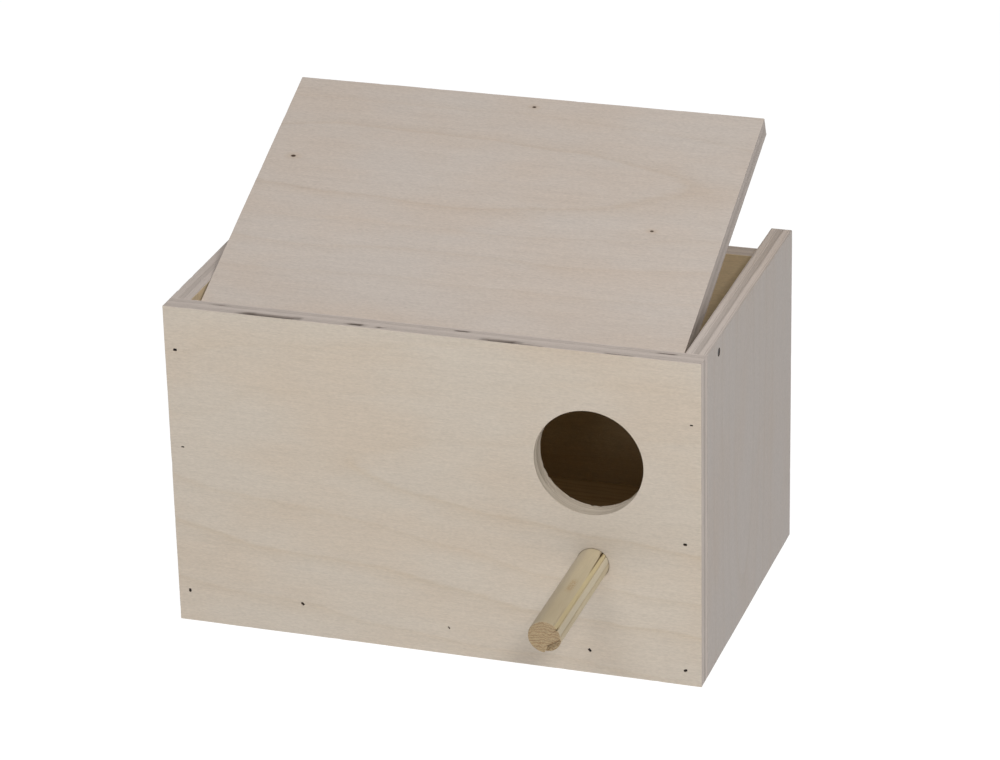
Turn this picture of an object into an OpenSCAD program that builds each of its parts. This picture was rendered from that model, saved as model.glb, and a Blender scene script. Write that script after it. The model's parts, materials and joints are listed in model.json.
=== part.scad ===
// Nest box for small birds: plywood panels round a thick wooden floor, a round
// entrance with a perch under it, and a lid that turns on two nails near the front.
// Millimetres. The origin is the middle of the base. +X is to the right of someone
// who faces the entrance, +Y runs from the entrance to the back and +Z is up.

/* [Box] */
// Width over both sides
box_w = 250; // [240:1:280]
// Depth from the front face to the back face
box_d = 160; // [145:1:190]
// Height of the front panel and of both sides
box_h = 157.5; // [150:0.5:180]
// Thickness of every plywood panel
ply_t = 10; // [9:0.5:11]

/* [Entrance and perch] */
// Diameter of the entrance hole
entrance_d = 50; // [32:1:54]
// Distance of the entrance hole to the right of the middle
entrance_x = 73.5; // [60:0.5:76]
// Height of the middle of the entrance hole
entrance_z = 104; // [98:0.5:108]
// Diameter of the perch
perch_d = 15; // [10:0.5:16]
// Length of the perch in front of the box
perch_reach = 73; // [40:1:100]
// Distance of the perch to the right of the middle
perch_x = 75; // [60:0.5:80]
// Height of the middle of the perch
perch_z = 55; // [45:0.5:60]

/* [Lid] */
// Angle that the lid is raised by from closed
lid_open = 23.2; // [0:0.1:120]
// Space between the lid and the sides, left and right together
lid_play = 3.5; // [3:0.5:6]
// Distance of the lid to the right of the middle of that space
lid_shift = -1.2; // [-1.2:0.1:1.2]
// Length of the closed lid that stands out behind the back panel
lid_lip = 11.5; // [0:0.5:20]
// Depth of the closed lid's top face below the top of the sides
lid_recess = 1; // [0:0.5:3]
// Space between the front panel and the nose of the lid as it swings past
nose_gap = 0.65; // [0.5:0.05:2]
// Distance of the hinge nails behind the front face
hinge_back = 29; // [29:0.5:34]
// Distance of the hinge nails below the top of the sides
hinge_drop = 6.5; // [6:0.5:8]

/* [Floor] */
// Thickness of the floor board
floor_t = 21; // [18:0.5:24]
// Diameter of the round nest hollow in the top of the floor board
hollow_d = 110; // [80:1:120]
// Depth of the nest hollow
hollow_depth = 12; // [6:0.5:14]
// Distance of the nest hollow to the right of the middle
hollow_x = -45; // [-48:1:0]

/* [Nails] */
// Length of the brads that hold the panels together
brad_len = 28; // [20:1:32]
// Diameter of a brad's wire
brad_d = 1.2; // [0.9:0.1:1.2]
// Length of the two round nails that the lid turns on
hinge_len = 32; // [28:1:40]
// Diameter of a hinge nail's wire
hinge_d = 1.8; // [1.4:0.1:2.4]
// Diameter of a hinge nail's head
hinge_head_d = 3.8; // [3.4:0.1:4.4]

/* [Hidden] */

$fn = 96;

// Faces of the box, from the origin
front_y = -box_d / 2;
back_y = box_d / 2;
side_x = box_w / 2;

// Space between the panels
inner_w = box_w - 2 * ply_t;
inner_d = box_d - 2 * ply_t;

// The closed lid lies on the back panel, between the sides
back_h = box_h - lid_recess - ply_t;

// The hinge line, and the lid's faces above and below it
hinge_y = front_y + hinge_back;
hinge_z = box_h - hinge_drop;
lid_above = hinge_drop - lid_recess;
lid_below = ply_t - lid_above;

// The nose of the lid clears the front panel by nose_gap where it swings closest
nose_swing_r = hinge_back - ply_t - nose_gap;
lid_nose = sqrt(nose_swing_r * nose_swing_r - lid_above * lid_above);
lid_w = inner_w - lid_play;
lid_len = lid_nose + box_d - hinge_back + lid_lip;

// Ball that the nest hollow is a cap of
hollow_r = hollow_d / 2;
ball_r = (hollow_r * hollow_r + hollow_depth * hollow_depth) / (2 * hollow_depth);

// Bevel on the outer end of the perch
perch_bevel = 0.6;

// Nail heads, how deep they are set below the wood, and the points of the nails
brad_head_w = 2.4;
brad_head_h = 1.2;
head_t = 0.8;
brad_sink = 0.5;
hinge_sink = 0.2;
point_len = 3;
point_d = 0.2;

// Room for a hinge nail to turn in the lid: around it and past its point
hinge_play = 0.06;
hinge_end_gap = 1;

// How far a cutting shape stands out of the face that it starts from
over = 1;

// Brads are driven freehand, so their places and turns differ a little.
// In a side: [distance from the box's outer face, height, turn of the head]
left_places = [[5.5, 15.5, 90], [6, 88.5, 0], [5, 136.5, 0]];
right_places = [[7.5, 7.5, -25], [7.5, 70, 0], [4.5, 128, 0]];
// In the floor: [distance to the right of the middle, height, turn of the head]
front_places = [[-64, 16, 40], [6.5, 13.5, 50], [73, 11.5, 50]];
back_places = [[-78, 11, 0], [0, 10, 15], [78, 11.5, -10]];

// A pointed wire along +Y that starts at the origin
module wire(len, d) {
    rotate([-90, 0, 0]) {
        cylinder(h = len - point_len, d = d);
        translate([0, 0, len - point_len])
            cylinder(h = point_len, d1 = d, d2 = point_d);
    }
}

// A brad's flat head, turned about the wire
module brad_head(turn, len) {
    rotate([0, turn, 0])
        translate([-brad_head_w / 2, 0, -brad_head_h / 2])
            cube([brad_head_w, len, brad_head_h]);
}

// A brad driven along +Y into a face at y = 0
module brad(turn) {
    translate([0, brad_sink, 0]) {
        wire(brad_len, brad_d);
        brad_head(turn, head_t);
    }
}

// The wood that a brad and its driver push aside
module brad_space(turn) {
    brad(turn);
    translate([0, -over, 0])
        brad_head(turn, over + brad_sink + head_t / 2);
}

// A round nail's head along +Y
module hinge_head(len) {
    rotate([-90, 0, 0])
        cylinder(h = len, d = hinge_head_d);
}

// A round nail driven along +Y into a face at y = 0
module hinge_nail() {
    translate([0, hinge_sink, 0]) {
        wire(hinge_len, hinge_d);
        hinge_head(head_t);
    }
}

// The wood that a hinge nail takes in a side
module hinge_nail_space() {
    hinge_nail();
    translate([0, -over, 0])
        hinge_head(over + hinge_sink + head_t / 2);
}

// Places for brads through the front panel into the left side, the right side and
// the floor, and through the back panel into the floor
module at_left(place) {
    translate([-side_x + place[0], front_y, place[1]]) children();
}

module at_right(place) {
    translate([side_x - place[0], front_y, place[1]]) children();
}

module at_front(place) {
    translate([place[0], front_y, place[1]]) children();
}

module at_back(place) {
    translate([place[0], back_y, place[1]])
        rotate([0, 0, 180]) children();
}

// Place for a nail through a side into the lid; hand is -1 for left and 1 for right
module at_hinge(hand) {
    translate([hand * side_x, hinge_y, hinge_z])
        rotate([0, 0, hand * 90]) children();
}

// A round hole along Y, through the front panel
module front_hole(x, z, d) {
    translate([x, front_y - over, z])
        rotate([-90, 0, 0])
            cylinder(h = ply_t + 2 * over, d = d);
}

module front_panel() {
    color("wheat")
        difference() {
            translate([-side_x, front_y, 0])
                cube([box_w, ply_t, box_h]);
            front_hole(entrance_x, entrance_z, entrance_d);
            front_hole(perch_x, perch_z, perch_d);
            for (place = left_places) at_left(place) brad_space(place[2]);
            for (place = right_places) at_right(place) brad_space(place[2]);
            for (place = front_places) at_front(place) brad_space(place[2]);
        }
}

module back_panel() {
    color("burlywood")
        difference() {
            translate([-inner_w / 2, back_y - ply_t, 0])
                cube([inner_w, ply_t, back_h]);
            for (place = back_places) at_back(place) brad_space(place[2]);
        }
}

module left_side() {
    color("tan")
        difference() {
            translate([-side_x, front_y + ply_t, 0])
                cube([ply_t, box_d - ply_t, box_h]);
            for (place = left_places) at_left(place) brad_space(place[2]);
            at_hinge(-1) hinge_nail_space();
        }
}

module right_side() {
    color("tan")
        difference() {
            translate([side_x - ply_t, front_y + ply_t, 0])
                cube([ply_t, box_d - ply_t, box_h]);
            for (place = right_places) at_right(place) brad_space(place[2]);
            at_hinge(1) hinge_nail_space();
        }
}

module floor_board() {
    color("peru")
        difference() {
            translate([-inner_w / 2, -inner_d / 2, 0])
                cube([inner_w, inner_d, floor_t]);
            translate([hollow_x, 0, floor_t - hollow_depth + ball_r])
                sphere(r = ball_r);
            for (place = front_places) at_front(place) brad_space(place[2]);
            for (place = back_places) at_back(place) brad_space(place[2]);
        }
}

// The bore in one end of the lid that a hinge nail turns in
module hinge_bore(hand) {
    bore_end = side_x - hinge_sink - hinge_len - hinge_end_gap;
    translate([hand * bore_end, 0, 0])
        rotate([0, hand * 90, 0])
            cylinder(h = side_x, d = hinge_d + 2 * hinge_play);
}

module lid() {
    color("antiquewhite")
        translate([0, hinge_y, hinge_z])
            rotate([lid_open, 0, 0])
                difference() {
                    translate([lid_shift - lid_w / 2, -lid_nose, -lid_below])
                        cube([lid_w, lid_len, ply_t]);
                    for (hand = [-1, 1]) hinge_bore(hand);
                }
}

module perch() {
    perch_r = perch_d / 2;
    perch_len = perch_reach + ply_t;
    color("khaki")
        translate([perch_x, front_y - perch_reach, perch_z])
            rotate([-90, 0, 0])
                rotate_extrude()
                    polygon([
                        [0, 0],
                        [perch_r - perch_bevel, 0],
                        [perch_r, perch_bevel],
                        [perch_r, perch_len],
                        [0, perch_len]
                    ]);
}

module left_side_brads() {
    color("dimgray")
        for (place = left_places) at_left(place) brad(place[2]);
}

module right_side_brads() {
    color("dimgray")
        for (place = right_places) at_right(place) brad(place[2]);
}

module front_floor_brads() {
    color("dimgray")
        for (place = front_places) at_front(place) brad(place[2]);
}

module back_floor_brads() {
    color("dimgray")
        for (place = back_places) at_back(place) brad(place[2]);
}

module left_hinge_nail() {
    color("dimgray")
        at_hinge(-1) hinge_nail();
}

module right_hinge_nail() {
    color("dimgray")
        at_hinge(1) hinge_nail();
}

front_panel();
back_panel();
left_side();
right_side();
floor_board();
lid();
perch();
left_side_brads();
right_side_brads();
front_floor_brads();
back_floor_brads();
left_hinge_nail();
right_hinge_nail();
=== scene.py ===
"""A nest box of sanded plywood with a raised lid, a round entrance and a dowel perch.

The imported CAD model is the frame. Every wooden part is rebuilt here as a finer mesh in the
place of its CAD node: eased and nicked arrises, plies that show on the sawn edges, torn
fibres and a split, chipped perch. The nails stay as packed. Shapes are worked out in
millimetres and written to the meshes in metres.

Each board is made in axes of its own: X along the grain of its face, Y across it and Z
through its thickness, with its better face up. Its materials use the same axes.
"""
import json
import math

import bpy
import numpy as np
from mathutils import Matrix, Vector


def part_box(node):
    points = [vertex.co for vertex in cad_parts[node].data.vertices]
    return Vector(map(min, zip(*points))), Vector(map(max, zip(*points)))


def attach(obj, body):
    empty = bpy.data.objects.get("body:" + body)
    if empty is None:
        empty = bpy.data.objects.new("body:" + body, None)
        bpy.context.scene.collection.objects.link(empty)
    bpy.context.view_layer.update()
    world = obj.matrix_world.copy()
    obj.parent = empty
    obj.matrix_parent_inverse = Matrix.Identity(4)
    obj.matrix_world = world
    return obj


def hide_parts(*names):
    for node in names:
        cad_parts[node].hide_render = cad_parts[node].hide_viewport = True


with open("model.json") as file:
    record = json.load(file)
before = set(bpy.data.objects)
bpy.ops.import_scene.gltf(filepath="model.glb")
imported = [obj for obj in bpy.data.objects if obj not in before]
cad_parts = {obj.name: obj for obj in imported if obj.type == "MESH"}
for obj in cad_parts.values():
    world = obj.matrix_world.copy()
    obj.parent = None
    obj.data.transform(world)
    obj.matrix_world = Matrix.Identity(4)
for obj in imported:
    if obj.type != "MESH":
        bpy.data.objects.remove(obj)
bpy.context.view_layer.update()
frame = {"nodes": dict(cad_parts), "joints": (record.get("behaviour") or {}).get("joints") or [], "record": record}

MM = 0.001
X, Y, Z = Vector((1, 0, 0)), Vector((0, 1, 0)), Vector((0, 0, 1))
HINGE = frame["joints"][0]
LID_OPEN = math.radians(-HINGE["range_deg"][0])

# Plywood's thickness and number of plies, and how near an edge its surface is cut finely
PLY_T = 10
PLIES = 7
ARRIS = (0.0, 0.1, 0.25, 0.45, 0.7, 1.0)
HOLE_AROUND = 320


# --- Camera and light ---

AIM = Vector((0.0131, -0.0185, 0.1106))
LAMP_COLOUR = (1.0, 0.985, 0.96)
SKY_COLOUR = (0.93, 0.96, 1.0)


def add_aimed(data, azimuth, elevation, distance, roll=0):
    """A camera or lamp that looks at AIM. Its angles are in degrees, azimuth 0 is the front."""
    azimuth, elevation = math.radians(azimuth), math.radians(elevation)
    back = Vector((
        math.sin(azimuth) * math.cos(elevation),
        -math.cos(azimuth) * math.cos(elevation),
        math.sin(elevation),
    ))
    right = Z.cross(back).normalized()
    turn = Matrix((right, back.cross(right), back)).transposed().to_4x4()
    thing = bpy.data.objects.new(data.name, data)
    place = Matrix.Translation(AIM + back * distance)
    thing.matrix_world = place @ turn @ Matrix.Rotation(math.radians(roll), 4, "Z")
    bpy.context.scene.collection.objects.link(thing)
    return thing


def add_camera():
    data = bpy.data.cameras.new("camera")
    data.lens = 145.1
    data.clip_start = 0.05
    camera = add_aimed(data, azimuth=18.44, elevation=24.02, distance=1.837, roll=-1.36)
    bpy.context.scene.camera = camera


def add_softbox(name, azimuth, elevation, distance, size, power):
    data = bpy.data.lights.new(name, "AREA")
    data.shape = "DISK"
    data.size = size
    data.energy = power
    data.color = LAMP_COLOUR
    add_aimed(data, azimuth, elevation, distance)


def add_lights():
    """A soft lamp overhead, a sharper one to the right and a faint sky."""
    add_softbox("overhead", azimuth=-8, elevation=60, distance=1.6, size=0.8, power=7.4)
    add_softbox("right", azimuth=38, elevation=42, distance=1.7, size=0.32, power=10.5)
    world = bpy.data.worlds.new("studio")
    world.use_nodes = True
    background = world.node_tree.nodes["Background"]
    background.inputs["Color"].default_value = (*SKY_COLOUR, 1)
    background.inputs["Strength"].default_value = 0.24
    bpy.context.scene.world = world
    bpy.context.scene.view_settings.view_transform = "Standard"


# --- Shader nodes ---

class Paint:
    """A material under construction. Its place is a point of the piece in millimetres."""

    def __init__(self, name, roughness):
        self.material = bpy.data.materials.new(name)
        self.material.use_nodes = True
        self.tree = self.material.node_tree
        self.surface = self.tree.nodes["Principled BSDF"]
        self.surface.inputs["Roughness"].default_value = roughness
        self.surface.inputs["Specular IOR Level"].default_value = 0.3
        self.coordinates = self.add("ShaderNodeTexCoord")
        self.place = self.scaled(self.coordinates.outputs["Object"], 1 / MM)
        self.x, self.y, self.z = self.split(self.place)

    def add(self, kind, **settings):
        node = self.tree.nodes.new(kind)
        for name, value in settings.items():
            setattr(node, name, value)
        return node

    def feed(self, socket, value):
        """Sets a socket to a number or a colour, or links it to another node's output."""
        if isinstance(value, bpy.types.NodeSocket):
            self.tree.links.new(value, socket)
        elif isinstance(value, tuple) and len(value) == 3 and len(socket.default_value) == 4:
            socket.default_value = (*value, 1)
        else:
            socket.default_value = value

    def scaled(self, vector, factor):
        node = self.add("ShaderNodeVectorMath", operation="SCALE")
        self.feed(node.inputs[0], vector)
        self.feed(node.inputs["Scale"], factor)
        return node.outputs[0]

    def split(self, vector):
        node = self.add("ShaderNodeSeparateXYZ")
        self.feed(node.inputs[0], vector)
        return node.outputs[:3]

    def math(self, operation, *values, clamp=False):
        node = self.add("ShaderNodeMath", operation=operation, use_clamp=clamp)
        for socket, value in zip(node.inputs, values):
            self.feed(socket, value)
        return node.outputs[0]

    def product(self, first, second):
        return self.math("MULTIPLY", first, second)

    def noise(self, cell, seed=0, detail=2.0):
        """Noise from 0 to 1 whose blobs have the given size along X, Y and Z."""
        node = self.add("ShaderNodeVectorMath", operation="MULTIPLY_ADD")
        self.feed(node.inputs[0], self.place)
        node.inputs[1].default_value = tuple(1 / side for side in cell)
        node.inputs[2].default_value = (seed * 7.3, seed * 3.1, seed * 5.7)
        texture = self.add("ShaderNodeTexNoise")
        texture.inputs["Scale"].default_value = 1
        texture.inputs["Detail"].default_value = detail
        self.feed(texture.inputs["Vector"], node.outputs[0])
        return texture.outputs["Fac"]

    def rise(self, value, low, high):
        """0 below low, 1 above high, and smooth between them."""
        node = self.add("ShaderNodeMapRange", interpolation_type="SMOOTHSTEP")
        for socket, given in zip(node.inputs, (value, low, high, 0.0, 1.0)):
            self.feed(socket, given)
        return node.outputs[0]

    def fall(self, value, low, high):
        """1 below low, 0 above high, and smooth between them."""
        return self.math("SUBTRACT", 1.0, self.rise(value, low, high))

    def ramp(self, value, stops):
        """The value's place among stops, a list of (position, grey)."""
        node = self.add("ShaderNodeValToRGB")
        elements = node.color_ramp.elements
        elements.remove(elements[1])
        for position, grey in stops:
            element = elements.new(position)
            element.color = (grey, grey, grey, 1)
        elements.remove(elements[0])
        self.feed(node.inputs[0], value)
        return node.outputs[0]

    def total(self, start, *parts):
        """start and each part, a (value, weight) pair, added up."""
        result = start
        for value, weight in parts:
            result = self.math("ADD", result, self.product(value, weight))
        return result

    def centred(self, value, reach):
        """A value from 0 to 1 moved and scaled to lie around 0, with that reach from end to end."""
        return self.product(self.math("SUBTRACT", value, 0.5), reach)

    def band(self, value, middle, half, soft):
        """1 near the middle and 0 away from it, with soft edges."""
        away = self.math("ABSOLUTE", self.math("SUBTRACT", value, middle))
        return self.fall(away, half - soft, half + soft)

    def facing_x(self, low, high):
        """1 on surfaces that face along X and 0 on those that face across it."""
        normal = self.split(self.coordinates.outputs["Normal"])
        return self.rise(self.math("ABSOLUTE", normal[0]), low, high)

    def mix(self, amount, first, second, blend="MIX"):
        node = self.add("ShaderNodeMix", data_type="RGBA", blend_type=blend)
        factor, colours = node.inputs[0], [end for end in node.inputs if end.type == "RGBA"]
        self.feed(factor, amount)
        self.feed(colours[0], first)
        self.feed(colours[1], second)
        return next(end for end in node.outputs if end.type == "RGBA")

    def spot(self, middle, radii):
        """1 at a point of the face, falling to 0 at the radii around it."""
        along = self.math("DIVIDE", self.math("SUBTRACT", self.x, middle[0]), radii[0])
        across = self.math("DIVIDE", self.math("SUBTRACT", self.y, middle[1]), radii[1])
        squares = self.total(self.product(along, along), (across, across))
        return self.fall(self.math("SQRT", squares), 0.0, 1.0)

    def attribute(self, name):
        return self.add("ShaderNodeAttribute", attribute_name=name).outputs["Fac"]

    def finish(self, colour, height, depth, roughness=None):
        """Links the colour, a bump of that depth in millimetres, and the roughness."""
        self.feed(self.surface.inputs["Base Color"], colour)
        bump = self.add("ShaderNodeBump")
        bump.inputs["Strength"].default_value = 1
        bump.inputs["Distance"].default_value = depth * MM
        self.feed(bump.inputs["Height"], height)
        self.feed(self.surface.inputs["Normal"], bump.outputs[0])
        if roughness is not None:
            self.feed(self.surface.inputs["Roughness"], roughness)
        return self.material


# --- Materials ---

FRONT_VENEER = (0.55, 0.485, 0.41)
LID_VENEER = (0.61, 0.54, 0.485)
# A greyer wood, darker than the front's as painted shade: the sides and back get less lamp light
SHADED_SIDE_VENEER = (0.436, 0.39, 0.358)
# A warmer, yellower wood, made paler than the outer veneers as painted light on the inner faces
LIT_INNER_VENEER = (0.64, 0.52, 0.345)
KNOT_BROWN = (0.045, 0.02, 0.01)
# Near black: painted shade in tears and nail holes
RECESS_SHADE_BROWN = (0.05, 0.032, 0.02)
RUSTY_BROWN = (0.16, 0.102, 0.064)
PLY_LONG = (0.67, 0.585, 0.53)
PLY_END = (0.50, 0.435, 0.39)
BORED_LONG = (0.60, 0.525, 0.435)
BORED_END = (0.47, 0.405, 0.325)
GLUE_BROWN = (0.30, 0.24, 0.20)
PINE = (0.50, 0.375, 0.225)
PINE_END = (0.50, 0.36, 0.20)
PERCH_WOOD = (0.548, 0.463, 0.318)
PERCH_END = (0.41, 0.31, 0.185)
# Painted shade in the perch's split, grooves and break
PERCH_SPLIT_SHADE = (0.13, 0.068, 0.025)
STEEL = (0.018, 0.018, 0.02)
RUST = (0.05, 0.032, 0.022)

# Colours that multiply the wood's own
PINK_STAIN = (1.0, 0.965, 0.93)
RING_BROWN = (0.80, 0.68, 0.52)
LATE_SIDE = (0.82, 0.76, 0.66)
LATE_END = (0.66, 0.60, 0.55)
LATE_PERCH = (0.70, 0.62, 0.56)
PERCH_YELLOW = (1.07, 1.05, 0.90)
PERCH_PALE = (1.08, 1.14, 1.27)
PERCH_GREY = (0.92, 0.93, 0.99)
PERCH_FIGURE = (0.84, 0.72, 0.60)
PERCH_SOIL = (0.88, 0.86, 0.84)


def times(colour, factors):
    return tuple(part * factor for part, factor in zip(colour, factors))


class Figure:
    """The rings that show on a peeled veneer, round an eye.

    eye is the middle and spread the half size of the innermost outline. rings is a list of
    (distance, darkness), where distance 1 is that outline. point is 2 for a round eye and less
    for a pointed one. above is how much of the darkness is left on the eye's upper side.
    """

    def __init__(self, eye, spread, rings, point=2.0, above=1.0):
        self.eye = eye
        self.spread = spread
        self.rings = rings
        self.point = point
        self.above = above

    def distance(self, paint):
        """How far out a place is, as a multiple of the innermost outline, with some waviness."""
        terms = []
        for value, middle, half in zip((paint.x, paint.y), self.eye, self.spread):
            away = paint.math("ABSOLUTE", paint.math("SUBTRACT", value, middle))
            terms.append(paint.math("POWER", paint.math("DIVIDE", away, half), self.point))
        reach = paint.math("POWER", paint.math("ADD", *terms), 1 / self.point)
        sway = paint.centred(paint.noise((75, 34, 60), 3, 1), 0.5)
        jitter = paint.centred(paint.noise((9, 1.3, 9), 4), 0.09)
        return paint.math("ADD", reach, paint.math("ADD", sway, jitter))

    def shade(self, paint):
        """Each ring is dark at its own distance and fades slowly outwards."""
        furthest = 4.0
        stops = [(0, 0)]
        for distance, dark in self.rings:
            stops += [
                ((distance - 0.04) / furthest, 0.1 * dark),
                (distance / furthest, dark),
                ((distance + 0.05) / furthest, 0.45 * dark),
                ((distance + 0.24) / furthest, 0.0),
            ]
        shade = paint.ramp(paint.math("DIVIDE", self.distance(paint), furthest), stops)
        below = paint.rise(paint.math("SUBTRACT", self.eye[1] + 3, paint.y), 0, 8)
        return paint.product(shade, paint.total(self.above, (below, 1 - self.above)))


def add_knot(paint, tint, middle, size, dark):
    """A pin knot: a small dark core in a browner halo."""
    halo = paint.spot(middle, (size * 3.2, size * 1.7))
    core = paint.spot(middle, (size, size * 0.62))
    tint = paint.mix(paint.product(halo, 0.4 * dark), tint, RING_BROWN, "MULTIPLY")
    return paint.mix(paint.product(paint.rise(core, 0.1, 0.55), dark), tint, KNOT_BROWN)


def veneer(name, colour, figure, seed, knots=()):
    """A sanded veneer face: rings, stained patches, fibres, pores, torn rims darkened with painted shade, and pin
    knots.
    """
    paint = Paint(name, 0.62)
    patches = paint.rise(paint.noise((70, 26, 70), seed, 3), 0.35, 0.72)
    streaks = paint.noise((38, 1.6, 9), seed + 1, 3)
    fibres = paint.noise((5, 0.5, 2), seed + 2, 2)
    pores = paint.rise(paint.noise((2.6, 0.28, 1), seed + 3, 1), 0.70, 0.80)
    grain = paint.noise((1.7, 0.5, 1), seed + 5, 1)
    tint = paint.mix(patches, colour, times(colour, PINK_STAIN))
    tint = paint.mix(paint.product(figure.shade(paint), 0.36), tint, RING_BROWN, "MULTIPLY")
    light = paint.total(0.73, (streaks, 0.12), (fibres, 0.17), (grain, 0.26), (pores, -0.07))
    tint = paint.mix(1.0, tint, light, "MULTIPLY")
    for middle, size, dark in knots:
        tint = add_knot(paint, tint, middle, size, dark)
    # Painted shade, with torn fibre, where the board's top is torn
    tint = paint.mix(paint.attribute("grime"), tint, RECESS_SHADE_BROWN)
    height = paint.total(0.0, (streaks, 0.5), (fibres, 0.6), (pores, -0.7))
    return paint.finish(tint, height, 0.06, paint.total(0.55, (streaks, 0.16)))


def ply_edge(name, seed, contrast=1.0, end_tone_and_shade=1.0, long_grain=PLY_LONG, end_grain=PLY_END):
    """A sawn edge of plywood: plies of long and end grain in turn, with glue between them.

    contrast is how far the two kinds of ply differ. The end tone lightens or darkens the edges that run across the
    faces' grain: partly their end grain, partly painted light and shade, lighter on the sides' top edges and
    darker on the edges that face sideways.
    """
    paint = Paint(name, 0.75)
    wander = paint.centred(paint.noise((24, 24, 3), seed, 2), 0.9)
    depth = paint.math("DIVIDE", paint.math("ADD", paint.z, wander), PLY_T)
    layer = paint.product(paint.math("ADD", depth, 0.5), PLIES)
    glue = paint.fall(paint.math("PINGPONG", layer, 1.0), 0.0, 0.16)
    odd = paint.rise(paint.math("PINGPONG", paint.math("ADD", layer, 0.5), 2.0), 0.86, 1.14)
    across = paint.facing_x(0.5, 0.85)
    is_end = paint.math("ABSOLUTE", paint.math("SUBTRACT", odd, across))
    is_end = paint.product(is_end, paint.total(0.5, (across, 0.5)))
    is_end = paint.math("ADD", 0.5, paint.centred(is_end, contrast))

    streaks = paint.noise((9, 9, 0.22), seed + 1, 3)
    speckle = paint.noise((0.45, 0.45, 0.45), seed + 2, 2)
    stain = paint.noise((22, 22, 22), seed + 3, 3)
    tint = paint.mix(is_end, long_grain, end_grain)
    tint = paint.mix(paint.product(glue, 0.35 * contrast), tint, GLUE_BROWN)
    light = paint.total(0.82, (streaks, 0.22), (stain, 0.10))
    # Painted light and shade, with the end grain's own tone, on edges facing along X
    light = paint.product(light, paint.total(1.0, (across, end_tone_and_shade - 1)))
    light = paint.math("ADD", light, paint.centred(speckle, paint.total(0.05, (is_end, 0.22))))
    tint = paint.mix(1.0, tint, light, "MULTIPLY")
    # Painted shade, with torn fibre, where the board's top is torn
    tint = paint.mix(paint.attribute("grime"), tint, RECESS_SHADE_BROWN)
    height = paint.total(streaks, (speckle, 0.8), (glue, -0.5))
    return paint.finish(tint, height, 0.16, paint.total(0.65, (speckle, 0.25)))


def crushed_wood():
    """The walls of a nail's hole: crushed fibres painted near black as shade in the hole, spotted with rust."""
    paint = Paint("crushed_wood", 0.85)
    speckle = paint.noise((0.4, 0.4, 0.4), 5, 3)
    # Painted shade, near black, spotted with rusty brown
    tint = paint.mix(paint.rise(speckle, 0.3, 0.7), RECESS_SHADE_BROWN, RUSTY_BROWN)
    return paint.finish(tint, speckle, 0.12)


def late_wood(paint, pith, spacing, sway, start):
    """Darkness of the growth rings round a pith that runs along X.

    The dark late wood starts at that part of the way through each ring.
    """
    away = [paint.math("SUBTRACT", value, at) for value, at in zip((paint.y, paint.z), pith)]
    radius = paint.math("SQRT", paint.math("ADD", *[paint.product(a, a) for a in away]))
    phase = paint.math("FRACT", paint.math("DIVIDE", paint.math("ADD", radius, sway), spacing))
    return paint.ramp(phase, [(0, 0.1), (start, 0.2), (start + 0.37, 1.0), (0.92, 0.9), (1.0, 0.1)])


def floor_pine(pith, spacing, seed):
    """The floor board's softwood, planed along its faces and sawn at its ends."""
    paint = Paint("floor_pine", 0.6)
    sway = paint.product(paint.noise((45, 6, 6), seed, 2), 1.9 * spacing)
    late = late_wood(paint, pith, spacing, sway, 0.45)
    fibres = paint.noise((9, 0.3, 0.3), seed + 1, 2)
    stain = paint.noise((26, 5, 5), seed + 2, 3)
    pores = paint.noise((0.5, 0.22, 0.22), seed + 3, 2)
    side = paint.mix(late, PINE, times(PINE, LATE_SIDE))
    end = paint.mix(late, PINE_END, times(PINE_END, LATE_END))
    tint = paint.mix(paint.facing_x(0.45, 0.8), side, end)
    light = paint.total(0.84, (fibres, 0.12), (stain, 0.14), (pores, 0.06))
    tint = paint.mix(1.0, tint, light, "MULTIPLY")
    # Painted shade with torn fibre at tears; the floor board has no tears, so none shows
    tint = paint.mix(paint.attribute("grime"), tint, RECESS_SHADE_BROWN)
    return paint.finish(tint, paint.total(fibres, (late, 0.4)), 0.09, paint.total(0.5, (fibres, 0.2)))


def dowel_bands(paint, stain, speckle, seed):
    """The perch's side: bands of paler and yellower wood along it, browner near its outer end.

    The bands are at angles in degrees from the perch's right-hand side over its top.
    """
    turn = paint.math("ARCTAN2", paint.z, paint.product(paint.y, -1.0))
    sway = paint.centred(paint.noise((20, 30, 30), seed, 2), 6.0)
    angle = paint.math("ADD", paint.product(turn, math.degrees(1)), sway)
    figure = paint.product(paint.band(angle, 80, 10, 6), paint.band(paint.x, 36.5, 5, 3))
    figure = paint.product(figure, paint.rise(speckle, 0.35, 0.6))
    pale = paint.product(paint.band(angle, 22, 11, 2), 0.8)
    soiled = paint.fall(paint.total(paint.x, (stain, 30)), 20, 75)
    tint = paint.mix(paint.band(angle, 150, 45, 15), PERCH_WOOD, PERCH_GREY, "MULTIPLY")
    tint = paint.mix(paint.band(angle, 43, 8, 2), tint, PERCH_YELLOW, "MULTIPLY")
    tint = paint.mix(pale, tint, PERCH_PALE, "MULTIPLY")
    tint = paint.mix(figure, tint, PERCH_FIGURE, "MULTIPLY")
    return paint.mix(soiled, tint, PERCH_SOIL, "MULTIPLY")


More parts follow.
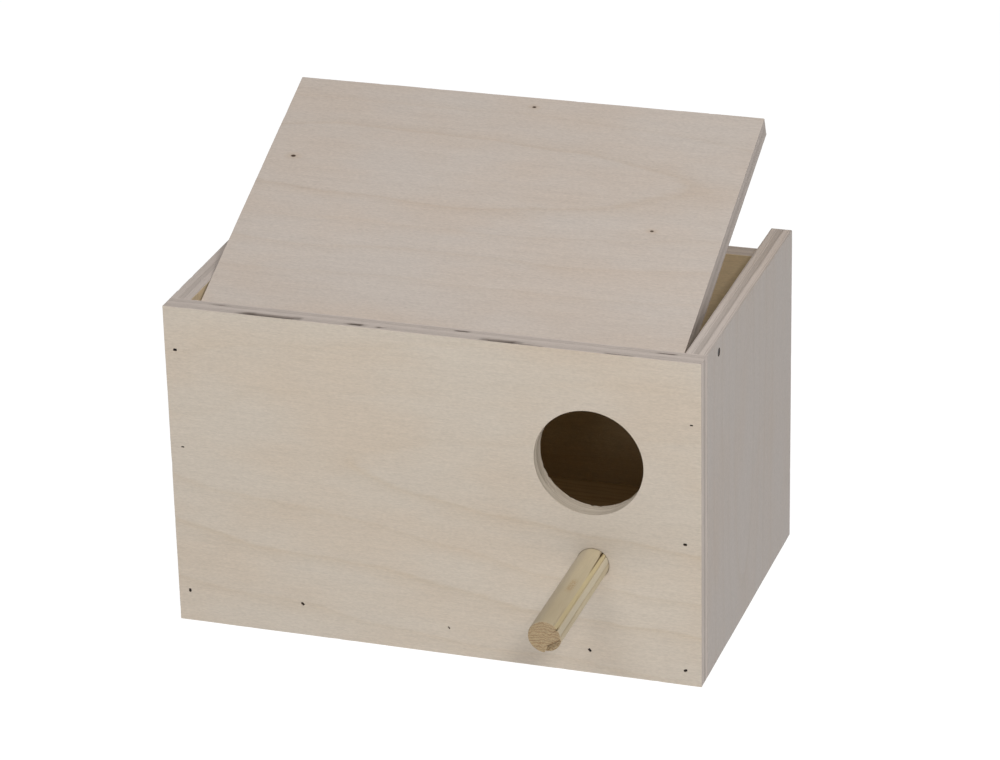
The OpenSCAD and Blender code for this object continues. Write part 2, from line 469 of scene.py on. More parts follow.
def dowel_wood(pith, spacing, seed):
    """The perch's softwood, with tufted rings on its broken end, and painted shade in its split, its grooves and
    along its break.
    """
    paint = Paint("dowel_wood", 0.6)
    fibres = paint.noise((9, 0.3, 0.3), seed + 1, 2)
    stain = paint.noise((26, 5, 5), seed + 2, 3)
    speckle = paint.noise((0.9, 0.35, 0.35), seed + 3, 2)
    tufts = paint.noise((0.5, 0.45, 0.45), seed + 5, 2)
    light = paint.total(0.82, (fibres, 0.14), (stain, 0.14), (speckle, 0.08))
    side = paint.mix(1.0, dowel_bands(paint, stain, speckle, seed), light, "MULTIPLY")
    sway = paint.product(paint.noise((45, 3, 3), seed + 4, 3), 2.6 * spacing)
    late = late_wood(paint, pith, spacing, sway, 0.43)
    end = paint.mix(late, PERCH_END, times(PERCH_END, LATE_PERCH))
    end = paint.mix(1.0, end, paint.total(0.55, (tufts, 0.95)), "MULTIPLY")
    facing = paint.facing_x(0.45, 0.8)
    tint = paint.mix(facing, side, end)
    # Painted shade in the split, the grooves and along the break
    tint = paint.mix(paint.attribute("grime"), tint, PERCH_SPLIT_SHADE)
    height = paint.math("ADD", fibres, paint.product(tufts, facing))
    return paint.finish(tint, height, 0.12, paint.total(0.5, (fibres, 0.2)))


def dull_steel():
    """A nail's head, dull and spotted with rust."""
    paint = Paint("nail_steel", 0.5)
    paint.surface.inputs["Metallic"].default_value = 0.4
    spots = paint.noise((0.6, 0.6, 0.6), 11, 3)
    tint = paint.mix(paint.rise(spots, 0.45, 0.65), STEEL, RUST)
    return paint.finish(tint, spots, 0.03, paint.total(0.35, (spots, 0.4)))


# --- Mesh code ---

def cell_noise(cells, seed):
    """A fixed random number from -1 to 1 for each whole-numbered cell."""
    mixed = cells @ np.array([374761393, 668265263, 974634777]) + seed * 1442695041
    mixed = (mixed ^ (mixed >> 13)) * 1274126177
    return ((mixed ^ (mixed >> 16)) & 0xFFFF) / 32767.5 - 1


def smooth_noise(points, cell, seed):
    """Smooth noise from -1 to 1 at each point. cell is the size of its blobs along each axis."""
    scaled = np.asarray(points) / np.asarray(cell)
    base = np.floor(scaled).astype(np.int64)
    part = scaled - base
    part = part * part * (3 - 2 * part)
    total = np.zeros(len(scaled))
    for corner in np.ndindex(2, 2, 2):
        weight = np.prod(np.where(corner, part, 1 - part), axis=1)
        total += weight * cell_noise(base + corner, seed)
    return total


def smooth_step(values, low, high):
    part = np.clip((values - low) / (high - low), 0, 1)
    return part * part * (3 - 2 * part)


def slab(levels):
    """The closed surface of a box cut into cells at the given levels along each axis."""
    counts = [len(axis) for axis in levels]
    sides = []
    for axis in range(3):
        first, second = [other for other in range(3) if other != axis]
        rows, columns = np.meshgrid(
            np.arange(counts[first] - 1), np.arange(counts[second] - 1), indexing="ij")
        for end in (0, counts[axis] - 1):
            quads = np.zeros((*rows.shape, 4, 3), int)
            quads[..., axis] = end
            for corner, (down, over) in enumerate(((0, 0), (1, 0), (1, 1), (0, 1))):
                quads[..., corner, first] = rows + down
                quads[..., corner, second] = columns + over
            if (end > 0) == (axis == 1):
                quads = quads[..., ::-1, :]
            sides.append(quads.reshape(-1, 3))
    numbers = np.ravel_multi_index(np.concatenate(sides).T, counts)
    used, faces = np.unique(numbers, return_inverse=True)
    steps = np.unravel_index(used, counts)
    points = np.stack([axis[step] for axis, step in zip(levels, steps)], axis=1)
    return points, faces.reshape(-1, 4).tolist()


def circle(count):
    """Points at even angles round a circle of radius 1 about Z."""
    angles = np.linspace(0, 2 * math.pi, count, endpoint=False)
    return np.stack([np.cos(angles), np.sin(angles), np.zeros(count)], axis=1)


def loft(rings):
    """A closed surface through rings of points, flat at its first and last ring."""
    rings = np.asarray(rings)
    count, around = rings.shape[:2]
    faces = []
    for row in range(count - 1):
        for step in range(around):
            after = (step + 1) % around
            faces.append([
                row * around + step, row * around + after,
                (row + 1) * around + after, (row + 1) * around + step,
            ])
    faces.append(list(range(around))[::-1])
    faces.append(list(range((count - 1) * around, count * around)))
    return outward(rings.reshape(-1, 3), faces)


def outward(points, faces):
    """The same closed surface with its faces turned so that it holds a positive volume."""
    volume = 0.0
    for face in faces:
        first, fan = points[face[0]], points[face[1:]]
        volume += np.sum(np.cross(fan[:-1], fan[1:]) @ first)
    return points, faces if volume > 0 else [face[::-1] for face in faces]


def make_piece(name, shapes, place):
    """An object from one or more (points, faces) shapes in millimetres."""
    points, faces, start = [], [], 0
    for shape_points, shape_faces in shapes:
        points.append(np.asarray(shape_points))
        faces += [[start + corner for corner in face] for face in shape_faces]
        start += len(shape_points)
    mesh = bpy.data.meshes.new(name)
    mesh.from_pydata((np.concatenate(points) * MM).tolist(), [], faces)
    piece = bpy.data.objects.new(name, mesh)
    piece.matrix_world = place
    bpy.context.scene.collection.objects.link(piece)
    return piece


def carve(piece, cutters):
    """Takes the cutters' shapes, given in the piece's own axes, out of the piece."""
    knife = make_piece("cutter", cutters, piece.matrix_world)
    cut = piece.modifiers.new("cut", "BOOLEAN")
    cut.operation = "DIFFERENCE"
    cut.solver = "MANIFOLD"
    cut.object = knife
    bpy.context.view_layer.update()
    graph = bpy.context.evaluated_depsgraph_get()
    carved = bpy.data.meshes.new_from_object(piece.evaluated_get(graph))
    carved.materials.clear()
    piece.modifiers.clear()
    piece.data = carved
    bpy.data.objects.remove(knife)


def read_points(piece):
    points = np.empty(len(piece.data.vertices) * 3)
    piece.data.vertices.foreach_get("co", points)
    return points.reshape(-1, 3) / MM


def write_points(piece, points):
    piece.data.vertices.foreach_set("co", (points * MM).ravel())
    piece.data.update()


def write_wear_and_shade(piece, grime):
    """Stores how dark each point is painted, for the materials: torn fibre and split wood, with painted shade in
    their hollows.
    """
    layer = piece.data.attributes.new("grime", "FLOAT", "POINT")
    layer.data.foreach_set("value", np.clip(grime, 0, 1).astype(np.float32))


def face_table(piece):
    """Each face's middle, in millimetres, and its normal."""
    count = len(piece.data.polygons)
    middles, normals = np.empty(count * 3), np.empty(count * 3)
    piece.data.polygons.foreach_get("center", middles)
    piece.data.polygons.foreach_get("normal", normals)
    return middles.reshape(-1, 3) / MM, normals.reshape(-1, 3)


# --- Nails and holes ---

BRAD_NODES = ("left_side_brads", "right_side_brads", "front_floor_brads", "back_floor_brads")
HINGE_NODES = ("left_hinge_nail", "right_hinge_nail")
# A head's thickness, less than the distance between two brads, and the points round a nail
HEAD_T = 0.8
BRAD_GAP = 10
AROUND = 32

# How far cutters reach out of the wood, and the room they leave round a nail
OUTSIDE = 2.0
NAIL_ROOM = 0.02

# The wood closes a little over a brad's head, and nearly all the way over one of some nodes'
# brads, counted from the left or the bottom
OPEN_MOUTH = (0.76, 1.04)
CLOSED_MOUTH = (0.62, 0.55)
CLOSED_BRADS = {"left_side_brads": 1, "right_side_brads": 2, "front_floor_brads": 1}


class Nail:
    """Where one nail of a CAD node is, in millimetres in the row frame."""

    def __init__(self, points):
        self.axis = int(np.argmax(np.ptp(points, axis=0)))
        self.across = [axis for axis in range(3) if axis != self.axis]
        along = points[:, self.axis]
        ends = [points[np.abs(along - level) < 0.01] for level in (along.min(), along.max())]
        head, tip = sorted(ends, key=lambda end: -np.ptp(end, axis=0).max())
        self.top = head[0, self.axis]
        self.tip = tip[0, self.axis]
        self.inward = math.copysign(1, self.tip - self.top)
        self.centre = tip[:, self.across].mean(0)
        arms = np.unique(np.round(head[:, self.across] - self.centre, 3), axis=0)
        self.is_round = len(arms) > 8
        wire = points[np.abs(along - self.top) > HEAD_T + 0.1]
        self.wire_r = np.linalg.norm(wire[:, self.across] - self.centre, axis=1).max()
        self.mouth = OPEN_MOUTH
        if self.is_round:
            self.mouth = (1.05, 1.05)
            self.turn = 0.0
            self.half = np.full(2, np.linalg.norm(arms, axis=1).max())
        else:
            sides = sorted((arms - arms[0])[1:], key=np.linalg.norm)
            self.turn = math.atan2(sides[1][1], sides[1][0])
            self.half = np.array([np.linalg.norm(sides[1]), np.linalg.norm(sides[0])]) / 2

    def ring(self, level, half, squareness=2.0):
        """Points round the nail at a level along it, from a circle to a slot with full corners."""
        cosines, sines, _ = circle(AROUND).T
        reach = (np.abs(cosines) ** squareness + np.abs(sines) ** squareness) ** (-1 / squareness)
        along, over = half[0] * reach * cosines, half[1] * reach * sines
        cosine, sine = math.cos(self.turn), math.sin(self.turn)
        points = np.empty((AROUND, 3))
        points[:, self.axis] = level
        points[:, self.across[0]] = self.centre[0] + along * cosine - over * sine
        points[:, self.across[1]] = self.centre[1] + along * sine + over * cosine
        return points

    def cutter(self):
        """The wood it takes away: a crushed mouth, then the head's room, then the wire's."""
        squareness = 2.0 if self.is_round else 3.2
        mouth = self.half * self.mouth
        head = self.half + NAIL_ROOM
        wire = np.full(2, self.wire_r + NAIL_ROOM)
        under = self.top + self.inward * HEAD_T
        return loft([
            self.ring(self.top - self.inward * OUTSIDE, mouth, squareness),
            self.ring(self.top - self.inward * 0.2, mouth, squareness),
            self.ring(self.top - self.inward * 0.02, head, squareness),
            self.ring(under, head, squareness),
            self.ring(under, wire),
            self.ring(self.tip + self.inward * 0.4, wire),
        ])


def node_points(node):
    """The points of a CAD node, in millimetres in the row frame."""
    return np.array([vertex.co for vertex in frame["nodes"][node].data.vertices]) / MM


def nail_points(node):
    """The points of each nail in a CAD node, from the left or the bottom."""
    points = node_points(node)
    if node in HINGE_NODES:
        return [points]
    row = np.ptp(points, axis=0).argmax()
    points = points[points[:, row].argsort()]
    gaps = np.diff(points[:, row]) > BRAD_GAP
    return np.split(points, np.flatnonzero(gaps) + 1)


def nails_in(*nodes):
    """The nails of the CAD nodes, with some of the brads' heads nearly closed over."""
    found = []
    for node in nodes:
        nails = [Nail(points) for points in nail_points(node)]
        if node in CLOSED_BRADS:
            nails[CLOSED_BRADS[node]].mouth = CLOSED_MOUTH
        found += nails
    return found


def moved(shape, matrix):
    """A shape in millimetres seen from other axes, whose matrix is in metres."""
    points, faces = shape
    turn = np.array(matrix.to_3x3())
    return points @ turn.T + np.array(matrix.translation) / MM, faces


def round_hole(centre, radius, half_t, ease, roughness, seed, torn):
    """A bored hole through a board: eased rims, plies standing proud and, at the back, torn fibres."""
    levels = np.unique(np.round(np.concatenate([
        [-half_t - OUTSIDE, half_t + OUTSIDE],
        half_t - np.array(ARRIS),
        np.array(ARRIS) - half_t,
        np.linspace(-half_t + 1, half_t - 1, 17),
    ]), 4))
    rings = []
    for level in levels:
        flat = circle(HOLE_AROUND) + (0, 0, level)
        at = flat * (radius, radius, 1)
        depth = half_t - abs(level)
        near = min(max(1 - depth / ease, 0), 1)
        facing = np.where(np.abs(flat[:, 0]) > np.abs(flat[:, 1]), 0, 1)
        grow = ease * (1 - math.sqrt(1 - near * near))
        grow = grow + roughness * ply_relief(at, facing, half_t, seed) * (depth > 0.1)
        back = smooth_step(np.full(HOLE_AROUND, -level), half_t - 0.9, half_t)
        rip = smooth_step(smooth_noise(at, (1.3, 1.3, 2), seed + 5), -0.1, 0.9)
        grow = grow + torn * back * rip
        ring = flat * np.stack([radius + grow, radius + grow, np.ones(HOLE_AROUND)], axis=1)
        rings.append(ring + (*centre, 0))
    return loft(rings)


# --- Boards ---

# How far apart a board is cut across its face and through its thickness
STEP = 2.2
THIN_STEP = 0.5

# Points closer to a board's outline than this are on its surface
SKIN = 0.002

# A board's materials, in order
FACE, EDGE, CRUSHED, INNER_FACE, BORED = range(5)

# A face of the mesh is on a board's flat side if its normal is near the flat's own and it is no
# further in than FLAT_DEPTH, and in a bore if it is further than BORE_INSET from the outline
FLAT_NORMAL = 0.72
FLAT_DEPTH = 0.9
BORE_INSET = 1.2
CRUSHED_MARGIN = 0.3

# Torn fibres along the front's top, in the board's axes: (middle, length, distance below the
# face, width, depth)
FRONT_TEARS = (
    (-100.0, 10, 7.5, 1.0, 0.35),
    (-74.5, 27, 2.1, 3.6, 0.9),
    (-34.0, 9, 2.6, 2.0, 0.4),
    (-22.4, 3, 2.6, 1.6, 0.6),
    (14.0, 8, 7.6, 1.2, 0.3),
    (33.5, 17, 1.9, 3.8, 1.2),
    (46.0, 14, 0.9, 1.1, 0.45),
    (88.0, 11, 0.9, 1.1, 0.5),
    (108.0, 10, 7.3, 1.0, 0.35),
)

# Rings of the veneers' figures: (distance from the eye, darkness)
FRONT_RINGS = ((1.0, 0.75), (1.72, 0.5), (2.3, 0.8), (3.1, 0.5))
LID_RINGS = ((1.0, 0.65), (1.72, 0.3), (2.45, 0.42), (3.2, 0.3))
SIDE_RINGS = ((1.0, 0.5), (1.7, 0.35), (2.4, 0.5), (3.2, 0.4))
BACK_RINGS = ((1.0, 0.6), (1.6, 0.4), (2.3, 0.5), (3.0, 0.4))
INNER_RINGS = ((1.0, 0.5), (1.8, 0.4), (2.6, 0.5))


def levels_along(size, step):
    """Places to cut an axis at: close together at both ends, even between them."""
    inner = size / 2 - ARRIS[-1]
    middle = np.linspace(-inner, inner, max(2, round(2 * inner / step)) + 1)
    ends = size / 2 - np.array(ARRIS[:-1])
    return np.concatenate([-ends, middle, ends[::-1]])


def ply_relief(points, normal_axis, half_t, seed):
    """How far each point of a sawn edge lies below it: end grain tears deeper than long grain."""
    wander = 0.3 * smooth_noise(points, (24, 24, 3), seed)
    layer = np.floor((points[:, 2] / (2 * half_t) + 0.5) * PLIES + wander)
    end_grain = (layer.astype(int) + normal_axis) % 2
    fine = smooth_noise(points, (1.6, 1.6, 0.7), seed + 1)
    streak = smooth_noise(points, (9, 9, 0.5), seed + 2)
    return 0.06 + 0.07 * end_grain + 0.05 * (fine * end_grain + streak)


def eased(points, half, ease, seed):
    """Where a board's points lie once its arrises are rounded, with a nick here and there."""
    nick = smooth_step(smooth_noise(points, (2.6, 2.6, 2.6), seed), 0.45, 0.95)
    radius = ease * (0.8 + 0.4 * smooth_noise(points, (16, 16, 16), seed + 1)) + 0.35 * nick
    inner = half - radius[:, None]
    core = np.clip(points, -inner, inner)
    away = points - core
    length = np.maximum(np.linalg.norm(away, axis=1), 1e-6)
    return core + away * (radius / length)[:, None]


def torn_share(points, half, tear, seed):
    """How much of a tear in a board's top edge each point has, from 0 to 1."""
    middle, span, below, width, _ = tear
    reach = half - np.abs(points)
    on_top = (reach.min(1) < SKIN) & (reach[:, 1] < 1.2) & (points[:, 1] > 0)
    along = np.abs(points[:, 0] - middle) / (span / 2)
    over = np.abs(half[2] - points[:, 2] - below) / (width / 2)
    ragged = 0.25 * smooth_noise(points, (2.5, 2.5, 1.2), seed)
    share = (1 - smooth_step(along + ragged, 0.6, 1.1)) * (1 - smooth_step(over + ragged, 0.4, 1.1))
    near_top = 1 - smooth_step(reach[:, 1], 0.2, 1.2)
    off_face = smooth_step(reach[:, 2], 0.08, 0.45)
    return np.where(on_top, share * near_top * off_face, 0)


def weather(piece, half, ease, seed, tears=()):
    """Eases a carved board's arrises, roughens its sawn edges and tears fibres out of its top.

    Returns how dark each point is painted in the tears: torn fibre, and painted shade in their hollows.
    """
    points = read_points(piece)
    reach = half - np.abs(points)
    skin = reach.min(1) < SKIN
    axis = reach.argmin(1)
    rough = skin & (axis != 2)
    depth = ply_relief(points, axis, half[2], seed + 2) * smooth_step(reach[:, 2], 0.0, 0.6)
    stain = 0.86 + 0.2 * smooth_noise(points, (5, 5, 2), seed + 4)
    grime = np.zeros(len(points))
    # The tears are painted dark: torn fibre, and painted shade in their hollows
    for tear in tears:
        share = torn_share(points, half, tear, seed + 3)
        depth = np.maximum(depth, tear[-1] * share)
        grime = np.maximum(grime, np.sqrt(share) * stain)
        rough = rough | (share > 0)
    result = np.where(skin[:, None], eased(points, half, ease, seed), points)
    edge_axis = np.where(axis == 2, reach[:, 1] < reach[:, 0], axis)
    for edge in (0, 1):
        chosen = rough & (edge_axis == edge)
        result[chosen, edge] -= np.sign(points[chosen, edge]) * depth[chosen]
    write_points(piece, result)
    return grime


def board_axes(node, along, out):
    """A board's matrix and half size: X along its grain, Z out of its better face."""
    low, high = closed_lid_box() if node == "lid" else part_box(node)
    turn = Matrix((along, out.cross(along), out)).transposed()
    size = turn.transposed() @ (high - low)
    half = np.array([abs(side) for side in size]) / 2 / MM
    place = Matrix.Translation((low + high) / 2) @ turn.to_4x4()
    if node == "lid":
        place = hinge_turn(LID_OPEN) @ place
    return place, half


def hinge_turn(angle):
    """The lid's turn about its hinge line, positive when it opens."""
    pin = Matrix.Translation(Vector(HINGE["pos_m"]))
    return pin @ Matrix.Rotation(angle, 4, Vector(HINGE["axis"])) @ pin.inverted()


def closed_lid_box():
    back = hinge_turn(-LID_OPEN)
    points = np.array([back @ vertex.co for vertex in frame["nodes"]["lid"].data.vertices])
    return Vector(points.min(0)), Vector(points.max(0))


def beside_nail(points, nail, to_board):
    """Which of a board's points are in the wood crushed round a nail."""
    ends = np.zeros((2, 3))
    ends[:, nail.across] = nail.centre
    ends[:, nail.axis] = nail.top - nail.inward * OUTSIDE, nail.tip
    (start, end), _ = moved((ends, []), to_board)
    length = np.linalg.norm(end - start)
    line = (end - start) / length
    along = (points - start) @ line
    away = np.linalg.norm(points - start - np.outer(along, line), axis=1)
    return (away < nail.half.max() + CRUSHED_MARGIN) & (along < length + 1)


def paint_board(piece, half, nails, materials):
    """Gives each face the material of the part of the board that it is on."""
    for material in materials:
        piece.data.materials.append(material)
    middles, normals = face_table(piece)
    reach = half - np.abs(middles)
    flat = (np.abs(normals[:, 2]) > FLAT_NORMAL) & (reach[:, 2] < FLAT_DEPTH)
    slots = np.where(flat, np.where(middles[:, 2] > 0, FACE, INNER_FACE), EDGE)
    if len(materials) > BORED:
        slots[(slots == EDGE) & (reach[:, :2].min(1) > BORE_INSET)] = BORED
    for nail in nails:
        beside = beside_nail(middles, nail, piece.matrix_world.inverted())
        slots[beside & (reach.min(1) > 0.02)] = CRUSHED
    piece.data.polygons.foreach_set("material_index", slots.astype(np.int32))


def plywood_board(node, along, out, body, materials, seed,
                  nails=(), holes=(), tears=(), ease=0.35):
    """Builds one board in the place of its CAD node."""
    place, half = board_axes(node, along, out)
    levels = [levels_along(2 * side, step) for side, step in zip(half, (STEP, STEP, THIN_STEP))]
    piece = make_piece(node + "_wood", [slab(levels)], place)
    cutters = [moved(nail.cutter(), place.inverted()) for nail in nails]
    if cutters or holes:
        carve(piece, cutters + list(holes))
    write_wear_and_shade(piece, weather(piece, half, ease, seed, tears))
    paint_board(piece, half, nails, materials)
    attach(piece, body)
    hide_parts(node)


def front_panel(materials):
    """The front, with the entrance, the perch's hole and the torn fibres along its top."""
    place, half = board_axes("front_panel", X, -Y)
    to_board = place.inverted()
    entrance = next(m for m in frame["record"]["mounts"] if m["name"] == "entrance_hole")
    entrance_at = to_board @ Vector(entrance["pos_m"]) / MM
    low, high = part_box("perch")
    perch_at = to_board @ ((low + high) / 2) / MM
    perch_r = (high.x - low.x) / 2 / MM
    holes = [
        round_hole(entrance_at[:2], entrance["dims"]["r_mm"], half[2], 0.45, 1.6, 31, torn=0.9),
        round_hole(perch_at[:2], perch_r + 0.03, half[2], 0.18, 0.4, 37, torn=0.6),
    ]
    nails = nails_in("left_side_brads", "right_side_brads", "front_floor_brads")
    plywood_board("front_panel", X, -Y, "box", materials, 11,
                  nails, holes, FRONT_TEARS)


def side_faces(side, crushed, eye, contrast, seed):
    outer = Figure(eye, (90, 16), SIDE_RINGS)
    inner = Figure((-20, -14), (80, 14), INNER_RINGS)
    return [
        veneer(side + "_veneer", SHADED_SIDE_VENEER, outer, seed),
        ply_edge(side + "_edge", seed + 1, contrast, end_tone_and_shade=1.06),
        crushed,
        veneer(side + "_inner_veneer", LIT_INNER_VENEER, inner, seed + 2),
    ]


def front_and_back_faces(crushed):
    front = Figure((150, 14), (180, 30), FRONT_RINGS, point=1.5, above=0.35)
    front_inner = Figure((0, -14), (120, 14), INNER_RINGS)
    back = Figure((-70, 10), (120, 18), BACK_RINGS, point=1.7)
    back_inner = Figure((60, 8), (100, 20), INNER_RINGS)
    edge = ply_edge("front_edge", 25, contrast=0.8, end_tone_and_shade=0.84)
    front_faces = [
        veneer("front_veneer", FRONT_VENEER, front, 24),
        edge,
        crushed,
        veneer("front_inner_veneer", LIT_INNER_VENEER, front_inner, 26),
        ply_edge("bored_edge", 34, contrast=0.9, long_grain=BORED_LONG, end_grain=BORED_END),
    ]
    back_faces = [
        veneer("back_veneer", SHADED_SIDE_VENEER, back, 27),
        edge,
        crushed,
        veneer("back_inner_veneer", LIT_INNER_VENEER, back_inner, 28),
    ]
    return front_faces, back_faces


def build_panels(crushed):
    front_faces, back_faces = front_and_back_faces(crushed)
    front_panel(front_faces)
    plywood_board("back_panel", -X, Y, "box", back_faces, 12,
                  nails_in("back_floor_brads"))
    plywood_board("left_side", Z, -X, "box",
                  side_faces("left", crushed, (-25, -20), 0.45, 51), 13,
                  nails_in("left_side_brads", "left_hinge_nail"))
    plywood_board("right_side", Z, X, "box",
                  side_faces("right", crushed, (30, 12), 0.85, 21), 14,
                  nails_in("right_side_brads", "right_hinge_nail"))


# The lid's pin knots: (place on its face, size, darkness)
LID_KNOTS = (((-100.4, 26.9), 1.9, 0.95), ((4.2, 73.6), 1.5, 0.95), ((79.9, 1.1), 1.4, 0.9))


def build_lid(crushed):
    """The lid, with two bores for the nails that it turns on."""
    outer = Figure((-37, 28.5), (132, 23), LID_RINGS)
    inner = Figure((20, -12), (110, 18), INNER_RINGS)
    faces = [
        veneer("lid_veneer", LID_VENEER, outer, 29, LID_KNOTS),
        ply_edge("lid_edge", 30, contrast=0.5, end_tone_and_shade=0.77),
        crushed,
        veneer("lid_inner_veneer", LIT_INNER_VENEER, inner, 33),
    ]
    place, _ = board_axes("lid", X, Z)
    bores = []
    for nail in nails_in(*HINGE_NODES):
        wire = np.full(2, nail.wire_r + 0.06)
        bore_end = nail.tip + nail.inward
        shape = loft([nail.ring(nail.top - nail.inward * OUTSIDE, wire), nail.ring(bore_end, wire)])
        bores.append(moved(moved(shape, hinge_turn(LID_OPEN)), place.inverted()))
    plywood_board("lid", X, Z, "lid", faces, 15, holes=bores)


# How far inside the hollow's rim its last rings are
RIM_STEPS = (0.8, 0.4, 0.1, -0.3)


def hollow_size(place, half):
    """The middle, radius and depth of the CAD floor board's hollow, in the board's axes."""
    local, _ = moved((node_points("floor_board"), []), place.inverted())
    on_top = np.abs(local[:, 2] - half[2]) < 0.01
    rim = local[on_top & (np.abs(local[:, :2]) < half[:2] - 1).all(1)]
    centre = (rim[:, :2].max(0) + rim[:, :2].min(0)) / 2
    radius = np.ptp(rim[:, 0]) / 2
    under_rim = np.linalg.norm(local[:, :2] - centre, axis=1) < radius - 2
    off_skin = (half - np.abs(local)).min(1) >= 0.01
    return centre, radius, half[2] - local[under_rim & off_skin, 2].min()


def nest_hollow(place, half):
    """The turned hollow in the floor board, with an eased rim and faint marks from turning it."""
    centre, radius, depth = hollow_size(place, half)
    ball = (radius ** 2 + depth ** 2) / (2 * depth)

    def ring(reach, height):
        return circle(HOLE_AROUND) * reach + (*centre, height)

    rings = [ring(0.4, half[2] - depth)]
    for reach in np.concatenate([np.arange(2, radius - 1, 1.3), radius - np.array(RIM_STEPS)]):
        height = half[2] - depth + ball - math.sqrt(ball ** 2 - min(reach, radius) ** 2)
        mark = 0.06 * math.cos(reach * 2.4)
        lip = 0.25 * max(0, reach - radius + RIM_STEPS[0])
        rings.append(ring(reach, height + mark + lip))
    rings.append(ring(radius - RIM_STEPS[-1], half[2] + OUTSIDE))
    return loft(rings)


def build_floor(crushed):
    place, half = board_axes("floor_board", X, Z)
    pine = floor_pine(pith=(12, -46), spacing=2.6, seed=41)
    plywood_board("floor_board", X, Z, "box", [pine, pine, crushed, pine], 16,
                  nails_in("front_floor_brads", "back_floor_brads"), [nest_hollow(place, half)], ease=0.5)


# --- Perch ---

PERCH_AROUND = 240
PERCH_STEP = 0.7
BEVEL = 0.6

# The split at the perch's root: its angle in degrees from the right over the top, and length
SPLIT_ANGLE = 51.7
SPLIT_LENGTH = 27

# The wedge broken out of its outer end: the inner corner, the directions of the two sides from
# it in the plane of the end, and its depth and the lengths of the sides
BREAK_CORNER = (1.5, -3.9)
BREAK_TURNS = (math.radians(31), math.radians(-112))
BREAK_SIZE = (2.8, 9.0, 7.0)


def groove(values, middle, width):
    """1 in the middle of a groove, falling off on both sides."""
    return np.exp(-((values - middle) / width) ** 2)


def perch_marks(angle, along, reach):
    """How deep the split and the grooves of the perch are, and how dark they are painted as shade, at points on
    its side.

    angle is in degrees, from the right over the top, and along is from the outer end.
    """
    wander = 1.2 * np.sin(along / 13) + 0.7 * np.sin(along / 5 + 1)
    opening = smooth_step(along, reach - SPLIT_LENGTH, reach - 4)
    split = groove(angle - 0.4 * wander, SPLIT_ANGLE, 1.1 + 0.8 * opening) * opening
    mouth = groove(angle, SPLIT_ANGLE, 5) * groove(along, reach - 1, 1.6)
    upper_line = groove(angle - wander, 35.5, 2.2)
    lower_line = groove(angle - 0.8 * wander, 8.3, 3.0)
    short_line = groove(angle + wander, 56, 2.0) * (1 - smooth_step(along, 12, 21))
    end_split = upper_line * (1 - smooth_step(along, 0, 4))
    marks = (
        (split, 0.8, 0.8),
        (mouth, 0.9, 0.9),
        (upper_line, 0.3, 0.16),
        (lower_line, 0.3, 0.12),
        (short_line, 0.16, 0.14),
        (end_split, 1.5, 0.5),
    )
    depth = sum(mark * deep for mark, deep, _ in marks)
    dark = sum(mark * shade for mark, _, shade in marks)
    return depth, dark


def dowel_ring(turns, along, radius):
    """Points round the perch at a place along it."""
    return np.stack([np.full(len(turns), along), -np.cos(turns) * radius, np.sin(turns) * radius], axis=1)


def perch_shape(radius, length, reach):
    """The dowel's closed surface, along X from its outer end, with its grooves and worn end."""
    angles = np.linspace(0, 360, PERCH_AROUND, endpoint=False)
    turns = np.radians(angles)
    places = np.concatenate([[0.0, 0.15, 0.35, BEVEL], np.arange(1.0, length - 0.9, PERCH_STEP), [length]])
    rings = []
    for share in (0.02, 0.12, 0.24, 0.36, 0.48, 0.6, 0.7, 0.8, 0.88):
        ring = dowel_ring(turns, 0, radius * share)
        ring[:, 0] = 0.22 + 0.16 * smooth_noise(ring, (3, 3.2, 0.7), 61)
        rings.append(ring)
    for along in places:
        bevelled = radius - BEVEL + BEVEL * math.sqrt(1 - (1 - min(along / BEVEL, 1)) ** 2)
        depth, _ = perch_marks(angles, along, reach)
        round_dowel = dowel_ring(turns, along, radius)
        lumps = 0.07 * smooth_noise(round_dowel, (28, 4, 4), 62)
        lumps += 0.035 * smooth_noise(round_dowel, (12, 0.8, 0.8), 63)
        ring = dowel_ring(turns, along, bevelled - depth - 0.1 + lumps)
        if along < BEVEL:
            ring[:, 0] += 0.12 + 0.1 * smooth_noise(ring, (3, 1.5, 1.5), 64)
        rings.append(ring)
    for share in (0.8, 0.4, 0.02):
        rings.append(dowel_ring(turns, length, radius * share))
    return loft(rings)


def broken_wedge(seed):
    """The rough wedge that is missing from the perch's end, shallower away from its corner."""
    points, faces = slab([np.arange(0, side + 0.2, 0.4) for side in BREAK_SIZE])
    spread = points / BREAK_SIZE
    rough = np.stack([smooth_noise(points, (1.6, 1.2, 1.2), seed + axis) for axis in range(3)], axis=1)
    points = points + rough * (0.35, 0.3, 0.3)
    points[:, 0] *= 1.25 - 0.75 * spread[:, 1] * (1 - 0.3 * spread[:, 2])
    points[:, 0] -= 1.0
    sides = np.array([[math.cos(turn), math.sin(turn)] for turn in BREAK_TURNS])
    right, up = (points[:, 1:] @ sides + BREAK_CORNER).T
    return outward(np.stack([points[:, 0], -right, up], axis=1), faces)


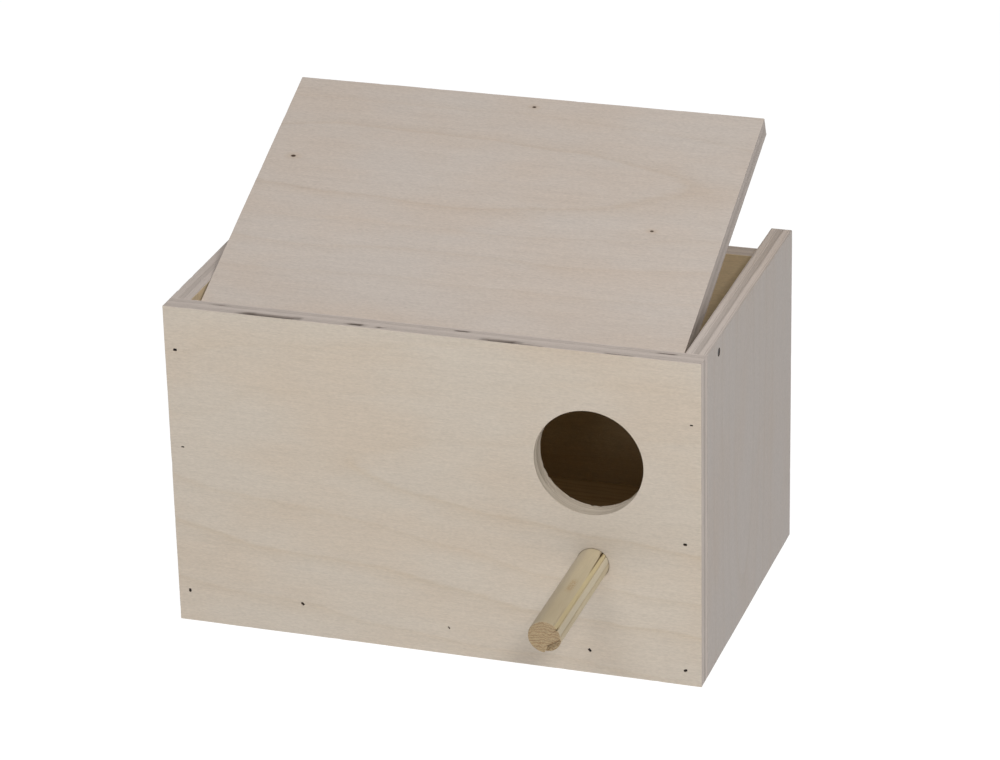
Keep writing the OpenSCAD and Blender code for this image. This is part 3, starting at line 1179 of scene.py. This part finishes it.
def perch_wear_and_shade(points, radius, reach):
    """How dark the perch's points are painted: shade in its grooves and split, and along the upper side of the
    break.
    """
    right, up = -points[:, 1], points[:, 2]
    out = np.hypot(right, up)
    _, dark = perch_marks(np.degrees(np.arctan2(up, right)), points[:, 0], reach)
    dark = dark * (out > radius - 2.4)
    # A painted shade along the upper side of the break
    turn = BREAK_TURNS[0]
    off_side = (up - BREAK_CORNER[1]) * math.cos(turn) - (right - BREAK_CORNER[0]) * math.sin(turn)
    beside = (np.abs(off_side) < 0.4) & (right > BREAK_CORNER[0] - 0.1) & (out < radius - 0.3)
    ledge = beside & (points[:, 0] < BREAK_SIZE[0] + 0.2)
    return np.maximum(dark, 0.7 * ledge)


def build_perch():
    low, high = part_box("perch")
    radius = (high.x - low.x) / 2 / MM
    length = (high.y - low.y) / MM
    reach = (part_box("front_panel")[0].y - low.y) / MM
    middle = (low + high) / 2
    inward = Matrix(((0, -1, 0), (1, 0, 0), (0, 0, 1))).to_4x4()
    place = Matrix.Translation(Vector((middle.x, low.y, middle.z))) @ inward
    piece = make_piece("perch_dowel", [perch_shape(radius, length, reach)], place)
    carve(piece, [broken_wedge(71)])
    write_wear_and_shade(piece, perch_wear_and_shade(read_points(piece), radius, reach))
    piece.data.materials.append(dowel_wood(pith=(0, -24), spacing=1.35, seed=51))
    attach(piece, "box")
    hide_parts("perch")


# --- Scene ---

def finish_nails():
    """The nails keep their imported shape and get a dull, rust-spotted steel."""
    steel = dull_steel()
    for node in BRAD_NODES + HINGE_NODES:
        nail = frame["nodes"][node]
        nail.data.materials.clear()
        nail.data.materials.append(steel)


def add_ground():
    """A pale sheet of glowing acrylic, as under a product in a studio."""
    size, level = 6.0, -0.05 * MM
    mesh = bpy.data.meshes.new("ground")
    corners = [(-size, -size, level), (size, -size, level), (size, size, level), (-size, size, level)]
    mesh.from_pydata(corners, [], [(0, 1, 2, 3)])
    ground = bpy.data.objects.new("ground", mesh)
    paint = Paint("acrylic", 0.9)
    paint.surface.inputs["Base Color"].default_value = (0.12, 0.12, 0.12, 1)
    paint.surface.inputs["Emission Color"].default_value = (1, 1, 1, 1)
    paint.surface.inputs["Emission Strength"].default_value = 0.965
    mesh.materials.append(paint.material)
    bpy.context.scene.collection.objects.link(ground)


def main():
    add_camera()
    add_lights()
    add_ground()
    crushed = crushed_wood()
    build_panels(crushed)
    build_lid(crushed)
    build_floor(crushed)
    build_perch()
    finish_nails()


main()
